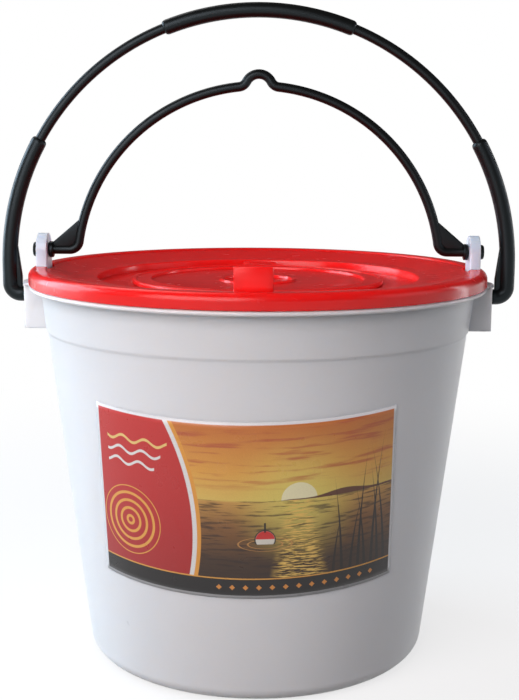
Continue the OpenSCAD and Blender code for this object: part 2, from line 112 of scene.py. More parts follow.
def moulded_skin():
    """The surface of a plastic moulding: slow waves of sink and flow, a fine peel, and scuffs from use."""
    group = bpy.data.node_groups.new("moulded_skin", "ShaderNodeTree")
    for name, kind, io in (("Vector", "Vector", "INPUT"), ("Roughness", "Float", "INPUT"),
                           ("Waves", "Float", "INPUT"), ("Scuffs", "Float", "INPUT"),
                           ("Roughness", "Float", "OUTPUT"), ("Patch", "Float", "OUTPUT"),
                           ("Normal", "Vector", "OUTPUT")):
        group.interface.new_socket(name, in_out=io, socket_type="NodeSocket" + kind)
    into, back = add(group, "NodeGroupInput"), add(group, "NodeGroupOutput")
    link = group.links.new
    slow = add(group, "ShaderNodeTexNoise", Scale=24.0, Detail=2.0)
    flow = add(group, "ShaderNodeTexNoise", Scale=110.0, Detail=2.0)
    fine = add(group, "ShaderNodeTexNoise", Scale=900.0, Detail=2.0)
    long = add(group, "ShaderNodeMapping", vector_type="POINT")
    long.inputs["Rotation"].default_value = (0.5, 0.3, 0.9)
    long.inputs["Scale"].default_value = (60, 700, 90)
    scuff = add(group, "ShaderNodeTexNoise", Scale=1.0, Detail=3.0)
    for n in (slow, flow, fine, long):
        link(into.outputs["Vector"], n.inputs["Vector"])
    link(long.outputs["Vector"], scuff.inputs["Vector"])

    def blend(value, share, base):
        """base + value x share"""
        n = add(group, "ShaderNodeMath", operation="MULTIPLY_ADD")
        n.inputs[1].default_value = share
        link(value, n.inputs[0])
        link(base, n.inputs[2])
        return n.outputs[0]

    marks = add(group, "ShaderNodeMapRange", interpolation_type="SMOOTHSTEP")
    marks.inputs["From Min"].default_value, marks.inputs["From Max"].default_value = 0.60, 0.72
    link(scuff.outputs["Fac"], marks.inputs["Value"])
    worn = add(group, "ShaderNodeMath", operation="MULTIPLY")
    link(marks.outputs["Result"], worn.inputs[0])
    link(into.outputs["Scuffs"], worn.inputs[1])
    rough = add(group, "ShaderNodeMath", operation="ADD", use_clamp=True)
    link(blend(flow.outputs["Fac"], 0.16, into.outputs["Roughness"]), rough.inputs[0])
    link(worn.outputs[0], rough.inputs[1])
    height = blend(flow.outputs["Fac"], 0.22, slow.outputs["Fac"])
    bump = add(group, "ShaderNodeBump", Distance=0.001)
    link(into.outputs["Waves"], bump.inputs["Strength"])
    link(blend(fine.outputs["Fac"], 0.012, height), bump.inputs["Height"])
    link(rough.outputs[0], back.inputs["Roughness"])
    link(slow.outputs["Fac"], back.inputs["Patch"])
    link(bump.outputs["Normal"], back.inputs["Normal"])
    return group


def plastic(name, dark, light, roughness, waves, scuffs):
    """A moulded plastic whose colour drifts a little from dark to light over the piece."""
    material, nt, out = new_material(name)
    coord = add(nt, "ShaderNodeTexCoord")
    skin = add(nt, "ShaderNodeGroup", node_tree=bpy.data.node_groups.get("moulded_skin") or moulded_skin())
    skin.inputs["Roughness"].default_value = roughness
    skin.inputs["Waves"].default_value = waves
    skin.inputs["Scuffs"].default_value = scuffs
    drift = add(nt, "ShaderNodeMix", data_type="RGBA")
    drift.inputs[6].default_value, drift.inputs[7].default_value = (*dark, 1), (*light, 1)
    bsdf = add(nt, "ShaderNodeBsdfPrincipled", IOR=1.5)
    nt.links.new(coord.outputs["Object"], skin.inputs["Vector"])
    nt.links.new(skin.outputs["Patch"], drift.inputs[0])
    nt.links.new(drift.outputs[2], bsdf.inputs["Base Color"])
    nt.links.new(skin.outputs["Roughness"], bsdf.inputs["Roughness"])
    nt.links.new(skin.outputs["Normal"], bsdf.inputs["Normal"])
    nt.links.new(bsdf.outputs["BSDF"], out.inputs["Surface"])
    return material, nt, bsdf


milky, nt, bsdf = plastic("milky_plastic", (0.90, 0.91, 0.94), (0.95, 0.955, 0.97), 0.24, 0.28, 0.10)
bsdf.inputs["Subsurface Weight"].default_value = 1.0
bsdf.inputs["Subsurface Radius"].default_value = (1.0, 0.92, 0.86)
bsdf.inputs["Subsurface Scale"].default_value = 0.006

# all in mm: the wall's radius is base_r at the ground and grows by slope; above the shoulder it stands
# step_out further out
base_r, slope, wall_t, step_out = 98.79, 0.1216, 2.2, 0.8
lean = math.degrees(math.atan(slope))
nub_z, under_z, floor_z, rim_z = 0.9, 1.6, 4.2, 217.3
corner_r, inner_r = 9.7, 7.5
flange_low, flange_r, lip_r = 214.8, 131.1, 1.2
corner_x = base_r + slope * corner_r - corner_r / math.cos(math.radians(lean))
inner_z = floor_z + inner_r
inner_x = base_r + slope * inner_z - wall_t - inner_r / math.cos(math.radians(lean))
outline = [(0, nub_z), (2.4, nub_z), (2.9, under_z)]
outline += [(corner_x - 9.2, under_z), (corner_x - 8.2, 1.2), (corner_x - 7.4, 0.3), (corner_x - 6.6, 0.0)]
outline += arc(corner_x, corner_r, corner_r, -90, -lean, 14)
outline += [(base_r + slope * z, z) for z in (60, 110, 160, 190.2)]
shoulder = ((190.8, 0.1), (191.4, 0.45), (192, 0.72), (192.6, step_out), (213.0, step_out), (214.2, 1.1),
            (flange_low, 2.0))
outline += [(base_r + slope * z + out, z) for z, out in shoulder]
outline += arc(flange_r, flange_low + lip_r, lip_r, -90, 90, 10)
outline += [(129.0, 217.2), (127.61, rim_z)]
outline += arc(126.8, 220.7, 0.8, 0, 90, 4) + arc(126.0, 220.7, 0.8, 90, 180, 4)
inside = ((flange_low, wall_t - step_out), (192.2, wall_t - step_out), (190.6, wall_t))
outline += [(base_r + slope * z - into, z) for z, into in inside]
outline += arc(inner_x, inner_z, inner_r, -lean, -90, 12)
outline += [(0, floor_z)]
pail = turned(outline, "outer_bucket_wall", milky, 288)
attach(pail, "outer_bucket")
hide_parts("outer_bucket")


# ---- outer bucket: handle lugs ----
# On each side a square shield hangs from the flange, hollow and open below, moulded in one with the wall.
# The big handle's pin snaps into its hole, and a round tab of the flange covers it from above.

def carved(o, cutter):
    """Cuts a bmesh out of an object and keeps the result as its mesh."""
    me = bpy.data.meshes.new("cutter")
    bmesh.ops.recalc_face_normals(cutter, faces=cutter.faces)
    cutter.to_mesh(me)
    cutter.free()
    tool = bpy.data.objects.new("cutter", me)
    scene.collection.objects.link(tool)
    mod = o.modifiers.new("cut", "BOOLEAN")
    mod.operation, mod.solver, mod.object = "DIFFERENCE", "EXACT", tool
    shown = o.evaluated_get(bpy.context.evaluated_depsgraph_get())
    done = bpy.data.meshes.new_from_object(shown)
    o.modifiers.clear()
    o.data = done
    bpy.data.objects.remove(tool)
    done.set_sharp_from_angle(angle=math.radians(35))


def grow(bm, face, vec):
    """Extrudes a face along a vector in metres and returns the new vertices."""
    made = bmesh.ops.extrude_face_region(bm, geom=[face])["geom"]
    new = [v for v in made if isinstance(v, bmesh.types.BMVert)]
    bmesh.ops.translate(bm, vec=vec, verts=new)
    return new


def rounded(bm, edges, radius, segments=4):
    """Rounds edges with a radius in mm."""
    bmesh.ops.bevel(bm, geom=edges, offset=radius / 1000, segments=segments, profile=0.5, affect="EDGES",
                    material=-1)


def drum(bm, x, y, z, length, sides, start_r, end_r, way=1):
    """Adds a round pin or disc along x, in mm, and returns its vertices."""
    place = Matrix.Translation((x / 1000, y / 1000, z / 1000)) @ Matrix.Rotation(way * math.pi / 2, 4, "Y")
    return bmesh.ops.create_cone(bm, cap_ends=True, segments=sides, radius1=start_r / 1000,
                                 radius2=end_r / 1000, depth=length / 1000, matrix=place)["verts"]


lug_x, lug_y, lug_z, lug_top, lug_t, root_in = 135.2, 14.0, 190.7, 216.2, 2.4, 0.8
tab_r, tab_x, back_r, tab_t = 24.0, 113.8, 129.6, 2.4
hook_z, bore_x, bore_r = 209.2, 134.5, 3.55
hollow_x, hollow_y = lug_x - lug_t, lug_y - lug_t
shield = [(0, -lug_y), (lug_x, -lug_y), (lug_x, lug_y), (0, lug_y),
          (0, hollow_y), (hollow_x, hollow_y), (hollow_x, -hollow_y), (0, -hollow_y)]
tab = [(x, y) for x, y in arc(tab_x, 0, tab_r, -60, 60, 40) if math.hypot(x, y) > back_r]
half = math.degrees(math.asin(tab[-1][1] / back_r))
tab += arc(0, 0, back_r, half, -half, 12)
for side, name in ((1, "right"), (-1, "left")):
    bm = bmesh.new()
    low = [bm.verts.new((x / 1000, y / 1000, lug_z / 1000)) for x, y in shield]
    grow(bm, bm.faces.new(low), (0, 0, (lug_top - lug_z) / 1000))
    for v in bm.verts:
        if v.co.x < 0.001:
            in_wall = (base_r + slope * v.co.z * 1000 - root_in) / 1000
            v.co.x = math.sqrt(in_wall ** 2 - v.co.y ** 2)
    bmesh.ops.recalc_face_normals(bm, faces=bm.faces)
    rounded(bm, [e for e in bm.edges if all(v.co.x > 0.131 for v in e.verts)
                 and abs(e.verts[0].co.z - e.verts[1].co.z) > 0.01], 1.0)
    rounded(bm, [e for e in bm.edges if all(abs(v.co.z - lug_z / 1000) < 1e-5 and v.co.x > 0.125
                                            for v in e.verts)], 0.4, 2)
    # the bore is cut while the shield is alone, because a cut through overlapping solids can drop one
    alone = finished(bm, "shield", milky)
    hole = bmesh.new()
    drum(hole, bore_x, 0, hook_z, 8, 48, bore_r, bore_r)
    carved(alone, hole)
    bm = bmesh.new()
    bm.from_mesh(alone.data)
    bpy.data.objects.remove(alone)
    low = [bm.verts.new((x / 1000, y / 1000, flange_low / 1000)) for x, y in tab]
    high = grow(bm, bm.faces.new(low), (0, 0, tab_t / 1000))
    rounded(bm, [e for e in bm.edges if (all(v in high for v in e.verts) or all(v in low for v in e.verts))
                 and all(math.hypot(v.co.x, v.co.y) > 0.1312 for v in e.verts)], 0.9)
    if side < 0:
        bmesh.ops.rotate(bm, verts=bm.verts, cent=(0, 0, 0), matrix=Matrix.Rotation(math.pi, 3, "Z"))
    lug = finished(bm, "outer_bucket_lug_" + name, milky)
    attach(lug, "outer_bucket")


# ---- inner bucket ----
# The drain bucket: a second, smaller pail of the same polyethylene, with holes moulded in its floor. Its
# rim hangs on the outer rim under the lid, and two ears stand up through the lid for the small handle.
# Its plastic is thinner and lets the day through. Its colour is painted darker and bluer than the pail's,
# as painted shade and painted bluish window light, which also hold back the red thrown up from the lid.
# painted shade and painted bluish light: the pail's polyethylene in a darker, bluer colour
painted_shade_milky, nt, bsdf = plastic("milky_plastic_painted_blue_shade", (0.61, 0.71, 0.82), (0.65, 0.74, 0.84), 0.24, 0.28, 0.08)
bsdf.inputs["Subsurface Weight"].default_value = 1.0
bsdf.inputs["Subsurface Radius"].default_value = (1.0, 0.92, 0.86)
bsdf.inputs["Subsurface Scale"].default_value = 0.003

bm = bmesh.new()
bm.from_mesh(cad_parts["inner_bucket"].data)
bmesh.ops.remove_doubles(bm, verts=bm.verts, dist=1e-6)
bmesh.ops.dissolve_degenerate(bm, edges=bm.edges, dist=1e-7)
drain = finished(bm, "inner_bucket_shell", painted_shade_milky)
mod = drain.modifiers.new("edge", "BEVEL")
mod.width, mod.segments, mod.limit_method, mod.angle_limit = 0.0005, 2, "ANGLE", math.radians(60)
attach(drain, "inner_bucket")
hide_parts("inner_bucket")


# ---- lid ----
# The red snap lid, one glossy polyethylene moulding: a rolled skirt, a flat rim, a slope down to a ledge, a
# sunk floor with a round mouth, and slots that it was pushed through over the two ears.
red, nt, bsdf = plastic("red_plastic", (0.82, 0.008, 0.008), (0.90, 0.013, 0.012), 0.14, 0.30, 0.05)
bsdf.inputs["Specular IOR Level"].default_value = 0.30
bsdf.inputs["Subsurface Weight"].default_value = 0.8
bsdf.inputs["Subsurface Radius"].default_value = (1.0, 0.10, 0.08)
bsdf.inputs["Subsurface Scale"].default_value = 0.005


def block(bm, centre, size):
    """Adds a rectangular block, in mm."""
    place, sizes = Vector(centre) / 1000, Vector(size) / 1000
    bmesh.ops.create_cube(bm, size=1, matrix=Matrix.Translation(place) @ Matrix.Diagonal((*sizes, 1)))


lid_r, lid_top, roll_r = 132.5, 226.1, 4.0
slope_r, ledge_r, mouth_r, sunk_z, lid_under = 123.4, 103.6, 65.6, 216.7, 214.8
outline = [(132.1, 217.5), (lid_r, 217.9)] + arc(lid_r - roll_r, lid_top - roll_r, roll_r, 0, 90, 14)
outline += [(126, lid_top)] + arc(slope_r, 224.7, 1.4, 90, 160, 6)
outline += [(104.6, 221.35), (ledge_r, 221.2)] + arc(94.2, 220.2, 1.0, 90, 170, 6)
outline += [(92.9, 217.3), (92.2, 216.75), (91.5, sunk_z)]
outline += [(66.2, sunk_z), (65.7, 216.5), (mouth_r, 216.2), (mouth_r, lid_under)]
outline += [(94.5, lid_under), (95.1, 219.3), (104.0, 219.3), (122.0, 223.5), (slope_r, 224.2)]
outline += [(129.4, 224.2)]
outline += [(130.7, 222.9), (130.7, 218.6), (129.7, 217.8), (129.7, 217.5)]
lid = turned(outline, "lid_shell", red, 288)
slots = bmesh.new()
for s in (1, -1):
    block(slots, (s * 124.85, 0, 223.65), (8.5, 20.2, 8.7))
carved(lid, slots)
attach(lid, "inner_bucket")
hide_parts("lid")


# ---- lid: bracket plate ----
# The upright plate that a clip-on air pump hangs from, moulded in one with the lid inside its front rim,
# with a rib behind each side edge.
plate_w, plate_t, plate_y, plate_low, plate_top = 19.6, 2.4, 122.2, 223.7, 238.2
rib_t, rib = 1.6, ((-121.0, 224.0), (-114.2, 222.5), (-114.2, 224.4), (-121.0, 234.6))
bm = bmesh.new()
block(bm, (0, plate_t / 2 - plate_y, (plate_low + plate_top) / 2),
      (plate_w, plate_t, plate_top - plate_low))
rounded(bm, bm.edges[:], 0.6)
for x in (-9.6, 8.0):
    face = bm.faces.new([bm.verts.new((x / 1000, y / 1000, z / 1000)) for y, z in rib])
    grow(bm, face, (rib_t / 1000, 0, 0))
plate = finished(bm, "lid_bracket_plate", red)
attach(plate, "inner_bucket")


# ---- hatch ----
# The round red door in the middle of the lid, its own moulding: a band between two low rolls, a sunk panel
# with a small ring, and a plug ring underneath that presses into the lid's mouth.
band_z, panel_z, door_low, skin_z = 219.3, 218.0, 217.0, 216.2
door_r, plug_out, plug_in = 73.1, 64.7, 62.9
outline = [(0, 217.7), (19.6, 217.7), (20.2, 219.0), (20.7, 219.2), (21.6, 219.2), (22.2, 218.6)]
outline += [(22.5, 218.05), (23.0, panel_z), (61.2, panel_z), (61.9, 218.3)]
outline += [(62.2, band_z + 0.2), (62.7, band_z + 0.35), (63.4, band_z + 0.3), (64.2, band_z)]
outline += [(70.6, band_z), (71.1, band_z + 0.5), (71.6, band_z + 0.65), (72.3, band_z + 0.55)]
outline += [(72.8, band_z + 0.2), (door_r, band_z - 0.4), (door_r, 217.3), (72.8, door_low)]
outline += [(plug_out, door_low), (plug_out, 213.0), (64.3, 212.6), (63.2, 212.6), (plug_in, 213.0)]
outline += [(plug_in, skin_z), (0, skin_z)]
door = turned(outline, "hatch_panel", red, 192)
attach(door, "hatch")
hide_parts("hatch")


# ---- hatch hinge ----
# A knuckle on the hatch's back edge turns between two small ears of the lid, on a pin that is moulded with
# the knuckle and snaps into them.
hinge_y, hinge_z, knuckle_r, pin_r = 77.0, 219.3, 2.2, 1.3
ear_x, ear_w = 8.4, 4.2
bm = bmesh.new()
drum(bm, 0, hinge_y, hinge_z, 12, 32, knuckle_r, knuckle_r)
drum(bm, 0, hinge_y, hinge_z, 20, 32, pin_r, pin_r)
block(bm, (0, 74.5, 218.1), (12, 6, 1.8))
knuckle = finished(bm, "hatch_knuckle", red)
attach(knuckle, "hatch")

for s, name in ((1, "right"), (-1, "left")):
    bm = bmesh.new()
    drum(bm, s * ear_x, hinge_y, hinge_z, ear_w, 32, knuckle_r, knuckle_r)
    block(bm, (s * ear_x, hinge_y, 217.55), (ear_w, 4.4, 3.5))
    rounded(bm, bm.edges[:], 0.15, 1)
    ear = finished(bm, "lid_hinge_ear_" + name, red)
    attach(ear, "inner_bucket")


# ---- outer bail ----
# The big carrying handle, one solid rod of black polypropylene: thin arcs, a thicker hand grip in the
# middle, thick legs, and hooks with a web in the corner whose pins snap into the lugs.
black, nt, bsdf = plastic("black_plastic", (0.0035, 0.0038, 0.0035), (0.0060, 0.0064, 0.0060),
                          0.28, 0.20, 0.10)
bsdf.inputs["Specular IOR Level"].default_value = 0.28
# painted reflection colour: the bluish tint stands in for the window's bluish light and holds back the red
# reflected from the lid
bsdf.inputs["Specular Tint"].default_value = (0.72, 0.90, 1.0, 1)


def rod(path, name, sides):
    """Sweeps a round section along (x, z, radius) points in mm, which lie in the plane y = 0."""
    cu = bpy.data.curves.new(name, "CURVE")
    cu.dimensions, cu.bevel_depth, cu.bevel_resolution = "3D", 0.001, sides // 4 - 1
    cu.use_fill_caps, cu.twist_mode = True, "MINIMUM"
    sp = cu.splines.new("POLY")
    sp.points.add(len(path) - 1)
    for p, (x, z, r) in zip(sp.points, path):
        p.co, p.radius = (x / 1000, 0, z / 1000, 1), r
    swept = bpy.data.objects.new(name, cu)
    scene.collection.objects.link(swept)
    me = bpy.data.meshes.new_from_object(swept.evaluated_get(bpy.context.evaluated_depsgraph_get()))
    bm = bmesh.new()
    bm.from_mesh(me)
    bmesh.ops.remove_doubles(bm, verts=bm.verts, dist=1e-6)
    bpy.data.objects.remove(swept)
    bpy.data.curves.remove(cu)
    bpy.data.meshes.remove(me)
    return bm


def web(bm, side, corners, thick):
    """A flat web in the corner of a hook, with its free edges rounded."""
    face = bm.faces.new([bm.verts.new((side * x / 1000, -thick / 2000, z / 1000)) for x, z in corners])
    old = list(face.verts)
    new = grow(bm, face, (0, thick / 1000, 0))
    rims = [e for group in (old, new) for v in group for e in v.link_edges if e.other_vert(v) in group]
    rounded(bm, list(set(rims)), 0.7, 3)


bow_r, bow_z, bend = 145.5, 226.3, 6.0
rod_r, grip_r, leg_r, head_r, pin_r = 2.9, 4.3, 4.5, 5.0, 3.5
grip_half, leg_top, soft = 54.2, 299, 2.5
grip_end = math.degrees(math.acos(grip_half / bow_r))
leg_end = math.degrees(math.asin((leg_top - bow_z) / bow_r))


def bow_radius(a):
    """Radius of the rod at angle a of the bow: leg, thin rod or grip, with steps rounded over soft mm."""
    into_leg, into_grip = math.radians(leg_end - a) * bow_r, math.radians(a - grip_end) * bow_r
    if into_leg > 0:
        return rod_r + (leg_r - rod_r) * math.sqrt(1 - max(0, 1 - into_leg / soft) ** 2)
    if into_grip > 0:
        return rod_r + (grip_r - rod_r) * math.sqrt(1 - max(0, 1 - into_grip / soft) ** 2)
    return rod_r


half = [(131.2, hook_z, 4.4), (131.4, hook_z, head_r), (132.3, hook_z, head_r), (132.5, hook_z, pin_r)]
half += [(135.8, hook_z, pin_r), (135.85, hook_z, 4.1), (136.2, hook_z, leg_r)]
half += [(x, z, leg_r) for x, z in arc(bow_r - bend, hook_z + bend, bend, 270, 360, 12)]
half += [(bow_r, z, leg_r) for z in (218, 222, bow_z - 1)]
steps = [leg_end - d for d in (1.0, 0.8, 0.6, 0.42, 0.28, 0.16, 0.07, 0.02, -0.02)]
steps += [grip_end + d for d in (-0.02, 0.02, 0.07, 0.16, 0.28, 0.42, 0.6, 0.8, 1.0)]
for a in sorted([i * 1.5 for i in range(60)] + steps):
    x, z = arc(0, bow_z, bow_r, a, a, 1)[0]
    half.append((x, z, bow_radius(a)))
path = half + [(0, bow_z + bow_r, grip_r)] + [(-x, z, r) for x, z, r in reversed(half)]
bm = rod(path, "outer_bail_rod", 32)
corners = [(138.4, 211), (138.4, 219.7), (141.0, 239.8), (bow_r, 239.8), (bow_r, 216), (140.5, 210.5)]
for s in (1, -1):
    web(bm, s, corners, 3.2)
bail = finished(bm, "outer_bail_rod", black, 50)
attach(bail, "outer_bail")
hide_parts("outer_bail")


# ---- inner bail ----
# The small handle of the drain bucket, the same black plastic: a thin bow with a hump to hang it by, webbed
# elbows, and at each ear a collar inside and a button outside that hold the pin.
small_r, small_z, hump_r, small_bend, rise, thin = 106.0, 223.6, 8.0, 5.5, 6.6, 2.75
pin_z, pin_r, disc_t = 235.3, 2.8, 2.6
hump_up = small_r + rise - hump_r
side_up = ((small_r + small_bend) ** 2 - (hump_r + small_bend) ** 2 + hump_up ** 2) / (2 * hump_up)
side_x = math.sqrt((hump_r + small_bend) ** 2 - (side_up - hump_up) ** 2)
hump_a = math.degrees(math.atan2(side_up - hump_up, side_x))
side_a = math.degrees(math.atan2(side_up, side_x))
elbow_a = math.degrees(math.asin((pin_z + small_bend - small_z) / (small_r + small_bend)))
elbow_x = (small_r + small_bend) * math.cos(math.radians(elbow_a))
half = [(129.4, pin_z, pin_r), (122.0, pin_z, pin_r), (120.6, pin_z, pin_r), (120.4, pin_z, thin)]
line = arc(elbow_x, pin_z + small_bend, small_bend, 270, 180 + elbow_a, 10)
line += arc(0, small_z, small_r, elbow_a, side_a, 60)[1:]
line += arc(side_x, small_z + side_up, small_bend, 180 + side_a, 180 + hump_a, 8)[1:]
line += arc(0, small_z + hump_up, hump_r, hump_a, 90, 10)[1:]
half += [(x, z, thin) for x, z in line]
path = half + [(-x, z, r) for x, z, r in reversed(half[:-1])]
bm = rod(path, "inner_bail_rod", 28)
corners = [(105.0, 243.6), (103.0, 254.0), (120.2, 239.4), (120.2, 236), (111, 236.2), (107.5, 238.5)]
for s in (1, -1):
    for x, r_in, r_out in ((120.9, 4.7, 4.7), (130.1, 4.7, 3.9)):
        disc = drum(bm, s * x, 0, pin_z, disc_t, 40, r_in, r_out, s)
        edges = set(e for v in disc for e in v.link_edges)
        rounded(bm, [e for e in edges if e.calc_face_angle(0) > 0.8], 0.6)
    web(bm, s, corners, 3.0)
small = finished(bm, "inner_bail_rod", black, 50)
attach(small, "inner_bail")
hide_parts("inner_bail")


# ---- label ----
# A printed and laminated film sticker, cut as a flat rectangle and rolled onto the front of the pail by
# hand. Its print is a plain one: a lake at sunset with reeds and a float, and a red field with waves.
label_w, label_h = 172.3, 97.9
label_mat, nt, out = new_material("printed_film")


def maths(operation, *values):
    n = add(nt, "ShaderNodeMath", operation=operation)
    for i, v in enumerate(values):
        if isinstance(v, (int, float)):
            n.inputs[i].default_value = v
        else:
            nt.links.new(v, n.inputs[i])
    return n.outputs[0]


def minus(a, b):
    return maths("SUBTRACT", a, b)


def times(a, b):
    return maths("MULTIPLY", a, b)


def apart(a, b):
    """How far a value is from another, either way."""
    return maths("ABSOLUTE", minus(a, b))


def distance(x, y):
    return maths("SQRT", maths("ADD", maths("POWER", x, 2.0), maths("POWER", y, 2.0)))


def under(value, edge, soft=0.22):
    """Mask that is 1 where value is under the edge, with an edge as soft as the print's."""
    n = add(nt, "ShaderNodeMapRange", interpolation_type="SMOOTHSTEP")
    for socket, v in zip(("From Min", "From Max", "To Min", "To Max"), (edge - soft, edge + soft, 1, 0)):
        n.inputs[socket].default_value = v
    nt.links.new(value, n.inputs["Value"])
    return n.outputs["Result"]


def over(value, edge, soft=0.22):
    return minus(1.0, under(value, edge, soft))


def both(*masks):
    done = masks[0]
    for m in masks[1:]:
        done = times(done, m)
    return done


def paint(ground, colour, mask):
    n = add(nt, "ShaderNodeMix", data_type="RGBA")
    for socket, v in ((6, ground), (7, colour)):
        if isinstance(v, tuple):
            n.inputs[socket].default_value = (*v, 1)
        else:
            nt.links.new(v, n.inputs[socket])
    nt.links.new(mask, n.inputs[0])
    return n.outputs[2]


def ramp(value, stops):
    n = add(nt, "ShaderNodeValToRGB")
    elements = n.color_ramp.elements
    while len(elements) < len(stops):
        elements.new(0.5)
    for e, (place, colour) in zip(elements, stops):
        e.position, e.color = place, (*colour, 1)
    nt.links.new(value, n.inputs[0])
    return n.outputs[0]


def streaks(long, high, low, top):
    """Noise drawn out along the label, as soft marks from 0 to 1."""
    n = add(nt, "ShaderNodeTexNoise", Scale=1.0, Detail=3.0)
    at = add(nt, "ShaderNodeCombineXYZ")
    nt.links.new(maths("DIVIDE", X, long), at.inputs[0])
    nt.links.new(maths("DIVIDE", Y, high), at.inputs[1])
    nt.links.new(at.outputs[0], n.inputs["Vector"])
    return over(n.outputs["Fac"], (low + top) / 2, (top - low) / 2)


uv = add(nt, "ShaderNodeUVMap", uv_map="label")
split = add(nt, "ShaderNodeSeparateXYZ")
nt.links.new(uv.outputs["UV"], split.inputs["Vector"])
X, Y = times(split.outputs["X"], label_w), times(split.outputs["Y"], label_h)

# sky and water
horizon, sun_x = 55.0, 116.0
water, air = under(Y, horizon), over(Y, horizon)
dusk = ((0.0, (0.020, 0.010, 0.006)), (0.22, (0.060, 0.028, 0.012)), (0.42, (0.26, 0.115, 0.032)),
        (0.555, (0.62, 0.33, 0.075)), (0.565, (0.80, 0.56, 0.12)), (0.72, (0.82, 0.40, 0.06)),
        (1.0, (0.62, 0.16, 0.022)))
ink = ramp(split.outputs["Y"], dusk)
sun_d = distance(minus(X, sun_x), minus(Y, horizon))
ink = paint(ink, (0.86, 0.76, 0.16), times(under(sun_d, 20, 20), 0.75))
cloud = both(streaks(34.0, 3.2, 0.50, 0.68), over(Y, 64, 7))
ink = paint(ink, (0.50, 0.085, 0.030), times(cloud, 0.75))
ink = paint(ink, (0.96, 0.90, 0.55), both(under(sun_d, 9.5), air))
hill = maths("ADD", times(maths("SINE", times(X, 0.055)), 2.4), times(maths("SINE", times(X, 0.19)), 0.7))
ink = paint(ink, (0.13, 0.045, 0.018), both(under(minus(minus(Y, horizon), hill), 0.4), air))
ripples = times(streaks(15.0, 1.5, 0.48, 0.66), 0.75)
ink = paint(ink, (0.030, 0.014, 0.008), both(water, ripples))
trail = under(minus(apart(X, sun_x), times(minus(horizon, Y), 0.16)), 6, 4)
ink = paint(ink, (0.92, 0.60, 0.13), both(water, trail, streaks(7.0, 0.8, 0.46, 0.58)))

# a float in the water, with two rings round it
float_x, float_y, float_r, tar = 98.0, 31.0, 4.9, (0.012, 0.008, 0.006)
dx, dy = minus(X, float_x), minus(Y, float_y)
for ring_r in (9.0, 14.0):
    ring = apart(distance(dx, times(dy, 3.6)), ring_r)
    ink = paint(ink, (0.62, 0.30, 0.08), times(under(ring, 0.45), 0.8))
ball, dry = distance(dx, minus(dy, 2.6)), over(dy, 0.0)
ink = paint(ink, tar, both(under(ball, float_r + 0.6), dry))
ink = paint(ink, (0.80, 0.76, 0.66), both(under(ball, float_r), dry))
ink = paint(ink, (0.66, 0.022, 0.016), both(under(ball, float_r), over(dy, 2.9)))
ink = paint(ink, tar, both(under(maths("ABSOLUTE", dx), 0.5), under(dy, 12.0), over(dy, 6.6)))

# reeds at the right edge, each a blade that leans and thins towards its tip
for foot, tall, bow in ((134.0, 44.0, 5.0), (139.5, 62.0, -4.0), (144.0, 52.0, 7.0), (149.0, 74.0, 5.0),
                        (153.5, 58.0, -6.0), (157.5, 82.0, 7.0), (162.0, 66.0, -5.0), (166.5, 76.0, -9.0)):
    along = maths("DIVIDE", Y, tall)
    away = apart(minus(X, foot), times(maths("POWER", along, 2.0), bow))
    ink = paint(ink, (0.016, 0.009, 0.005), under(maths("ADD", away, times(along, 1.25)), 1.2))

# the red field with its two keylines, waves and rings
field_x, field_y, field_r = -66.0, 36.0, 126.0
field = distance(minus(X, field_x), minus(Y, field_y))
ink = paint(ink, (0.84, 0.36, 0.040), under(field, field_r + 4.6))
ink = paint(ink, (0.86, 0.86, 0.84), under(field, field_r + 2.4))
inside = under(field, field_r)
reds = ((0.0, (0.40, 0.012, 0.012)), (0.6, (0.56, 0.018, 0.016)), (1.0, (0.62, 0.022, 0.018)))
ink = paint(ink, ramp(split.outputs["Y"], reds), inside)
for i, colour in enumerate(((0.90, 0.62, 0.20), (0.84, 0.82, 0.78), (0.84, 0.82, 0.78))):
    crest = times(maths("SINE", maths("ADD", times(X, 0.42), 0.9 * i)), 1.5)
    wave = under(apart(minus(Y, 82.0 - 6.5 * i), crest), 0.75)
    ink = paint(ink, colour, both(wave, over(X, 8.0), under(X, 47.0 - 4.0 * i)))
rings_x, rings_y, rings_r, rings_pitch = 22.0, 36.0, 19.6, 4.4
out_from = distance(minus(X, rings_x), minus(Y, rings_y))
rings = under(apart(maths("FRACT", maths("DIVIDE", out_from, rings_pitch)), 0.5), 0.17, 0.05)
ink = paint(ink, (0.86, 0.40, 0.060), both(rings, under(out_from, rings_r), inside))

# the dark foot strip with its row of diamonds, and the white edge of the sheet
strip_h, gems_y, gem_pitch, gem_size, edge_w = 10.9, 6.3, 7.0, 1.5, 1.7
ink = paint(ink, (0.84, 0.40, 0.060), under(Y, strip_h + 0.7))
ink = paint(ink, (0.014, 0.011, 0.010), under(Y, strip_h))
from_gem = times(apart(maths("FRACT", maths("DIVIDE", X, gem_pitch)), 0.5), gem_pitch)
gem = under(maths("ADD", from_gem, apart(Y, gems_y)), gem_size)
ink = paint(ink, (0.78, 0.30, 0.050), both(gem, over(X, 70.0), under(X, 161.0)))
from_edge = maths("MINIMUM", maths("MINIMUM", X, minus(label_w, X)), maths("MINIMUM", Y, minus(label_h, Y)))
ink = paint(ink, (0.80, 0.80, 0.81), under(from_edge, edge_w))

